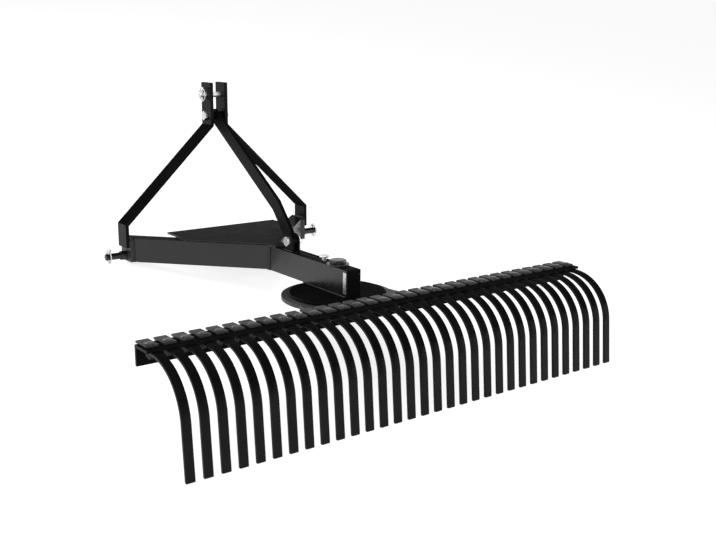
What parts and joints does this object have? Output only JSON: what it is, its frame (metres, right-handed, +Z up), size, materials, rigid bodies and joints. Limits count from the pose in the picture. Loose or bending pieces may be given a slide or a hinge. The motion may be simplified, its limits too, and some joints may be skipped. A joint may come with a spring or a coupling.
{
  "type": "landscape rake for a three-point hitch",
  "caption": "Landscape rake with a row of curved spring tines on an angle bar that swivels under a forked tongue with a braced, bent-leg mast.",
  "frame": {"origin": "on the ground, under the middle of the overall box of the rake as it parks", "axes": "+X to the operator's right along the tine row, +Y forward to the tractor, +Z up; the rake parks tipped forward on its tine tips and hitch brackets"},
  "size_m": [1.524, 1.3662, 0.5941],
  "materials": {
    "black_paint": "gloss powder coat",
    "tine_paint": "gloss black paint on spring steel",
    "bolt_black": "satin black, painted with the frame",
    "zinc_plate": "bright zinc plate"
  },
  "bodies": {
    "hitch_frame": {"tongue_tube": "black_paint", "tongue_end_plate": "black_paint", "arm_tube_left": "black_paint", "arm_tube_right": "black_paint", "fork_gusset": "black_paint", "pivot_disc": "black_paint", "king_bolt": "bolt_black", "lock_pin": "zinc_plate", "hitch_bracket_left": "black_paint", "hitch_bracket_right": "black_paint", "lower_hitch_pin_left": "black_paint", "lower_hitch_pin_right": "black_paint", "linchpin_left": "zinc_plate", "linchpin_right": "zinc_plate", "mast_leg_left": "black_paint", "mast_leg_right": "black_paint", "top_link_pin": "zinc_plate", "top_linchpin": "zinc_plate", "ear_bolt": "zinc_plate", "ear_spacers": "black_paint", "mast_brace": "black_paint", "brace_lugs": "black_paint", "brace_bolt": "zinc_plate"},
    "rake_head": {"rake_bar": "black_paint", "swivel_plate": "black_paint", "tine_clamp_plates": "black_paint", "tine_bolts": "bolt_black", "tine_group_1": "tine_paint", "tine_group_2": "tine_paint", "tine_group_3": "tine_paint", "tine_group_4": "tine_paint", "tine_group_5": "tine_paint", "tine_group_6": "tine_paint", "tine_group_7": "tine_paint", "tine_group_8": "tine_paint"}
  },
  "joints": [
    {"name": "head_swivel", "type": "hinge", "parent": "hitch_frame", "child": "rake_head", "pos_m": [0, -0.20114, 0.12342], "axis": [0, 0.201, 0.9796], "range_deg": [-45, 45]}
  ]
}
